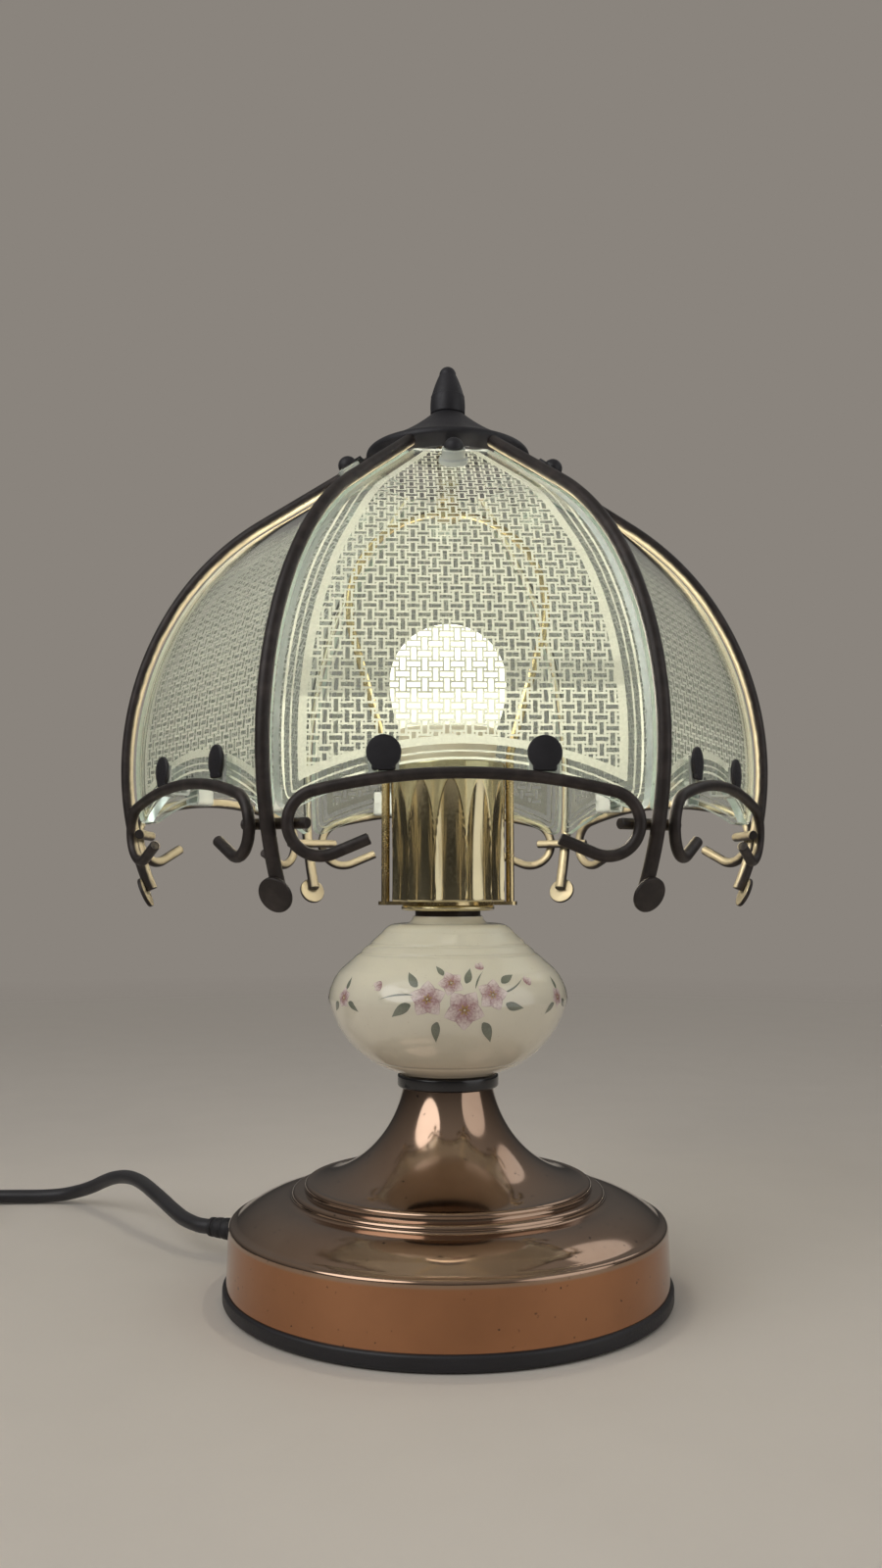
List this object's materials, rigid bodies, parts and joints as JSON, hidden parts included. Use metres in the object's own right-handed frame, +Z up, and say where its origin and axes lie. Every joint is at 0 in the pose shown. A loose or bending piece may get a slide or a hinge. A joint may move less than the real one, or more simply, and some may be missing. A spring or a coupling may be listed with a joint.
{
  "type": "touch table lamp",
  "caption": "Touch table lamp with a spun metal base, glazed ceramic body, fluted cup, wire harp and a scroll-framed shade of bent glass panels",
  "frame": {"origin": "on the table at the lamp's axis", "axes": "+Z is up along the lamp's axis; the first glass panel faces -Y; +X is to the right as seen from the front"},
  "size_m": [0.5019, 0.2644, 0.3555],
  "materials": {
    "foot_plastic": "moulded, satin",
    "cover_steel": "pressed and painted",
    "zinc_steel": "zinc plated",
    "weight_iron": "as cast",
    "module_plastic": "moulded",
    "contact_brass": "stamped",
    "lead_pvc": "extruded",
    "base_bronze": "spun and polished, antique bronze tone",
    "relief_rubber": "moulded",
    "seat_black": "moulded",
    "glazed_body": "glazed, with a flower decoration",
    "neck_dark": "painted",
    "cup_gold": "polished and lacquered",
    "saddle_brass": "stamped, antique",
    "holder_plastic": "moulded",
    "harp_brass": "drawn and lacquered",
    "crown_black": "turned, antique black",
    "frame_bronze": "bent rod, antique bronze",
    "bent_glass": "bent, etched with a woven pattern",
    "clear_cushion": "moulded, clear",
    "bulb_glass": "opal",
    "bulb_plastic": "moulded",
    "cap_metal": "rolled",
    "tip_plastic": "moulded",
    "tie_plastic": "moulded",
    "pin_metal": "nickel plated"
  },
  "bodies": {
    "base": {"foot_ring": "foot_plastic", "bottom_cover": "cover_steel", "cover_screws": "zinc_steel", "base_weight": "weight_iron", "touch_module": "module_plastic", "sense_lead": "contact_brass", "inner_leads": "lead_pvc", "base_shell": "base_bronze", "strain_relief": "relief_rubber", "threaded_pipe": "zinc_steel", "pipe_nuts": "zinc_steel", "pipe_washer": "zinc_steel", "seat_ring": "seat_black", "ceramic_body": "glazed_body", "neck_spacer": "neck_dark", "cup_disc": "cup_gold", "harp_saddle": "saddle_brass", "fluted_cup": "cup_gold", "lampholder": "holder_plastic", "screw_shell": "contact_brass", "centre_contact": "contact_brass", "harp": "harp_brass", "harp_stud": "harp_brass", "shade_riser": "harp_brass", "cord_lead": "lead_pvc", "cord_coil": "lead_pvc", "cord_tie": "tie_plastic", "plug_body": "lead_pvc", "plug_pins": "pin_metal"},
    "shade": {"crown": "crown_black", "rib_1": "frame_bronze", "rib_2": "frame_bronze", "rib_3": "frame_bronze", "rib_4": "frame_bronze", "rib_5": "frame_bronze", "rib_6": "frame_bronze", "scroll_1": "frame_bronze", "scroll_2": "frame_bronze", "scroll_3": "frame_bronze", "scroll_4": "frame_bronze", "scroll_5": "frame_bronze", "scroll_6": "frame_bronze", "cross_pins": "frame_bronze", "glass_panel_1": "bent_glass", "glass_panel_2": "bent_glass", "glass_panel_3": "bent_glass", "glass_panel_4": "bent_glass", "glass_panel_5": "bent_glass", "glass_panel_6": "bent_glass", "lower_clips": "crown_black", "lower_cushions": "clear_cushion", "upper_clips": "crown_black", "upper_cushions": "clear_cushion"},
    "finial": {"finial": "crown_black"},
    "bulb": {"bulb_globe": "bulb_glass", "bulb_collar": "bulb_plastic", "bulb_cap": "cap_metal", "bulb_tip": "tip_plastic"}
  },
  "joints": [
    {"name": "shade_swivel", "type": "hinge", "parent": "base", "child": "shade", "pos_m": [0, 0, 0.325], "axis": [0, 0, 1], "continuous": true},
    {"name": "finial_turn", "type": "hinge", "parent": "base", "child": "finial", "pos_m": [0, 0, 0.34], "axis": [0, 0, 1], "continuous": true},
    {"name": "bulb_turn", "type": "hinge", "parent": "base", "child": "bulb", "pos_m": [0, 0, 0.185], "axis": [0, 0, 1], "continuous": true}
  ]
}
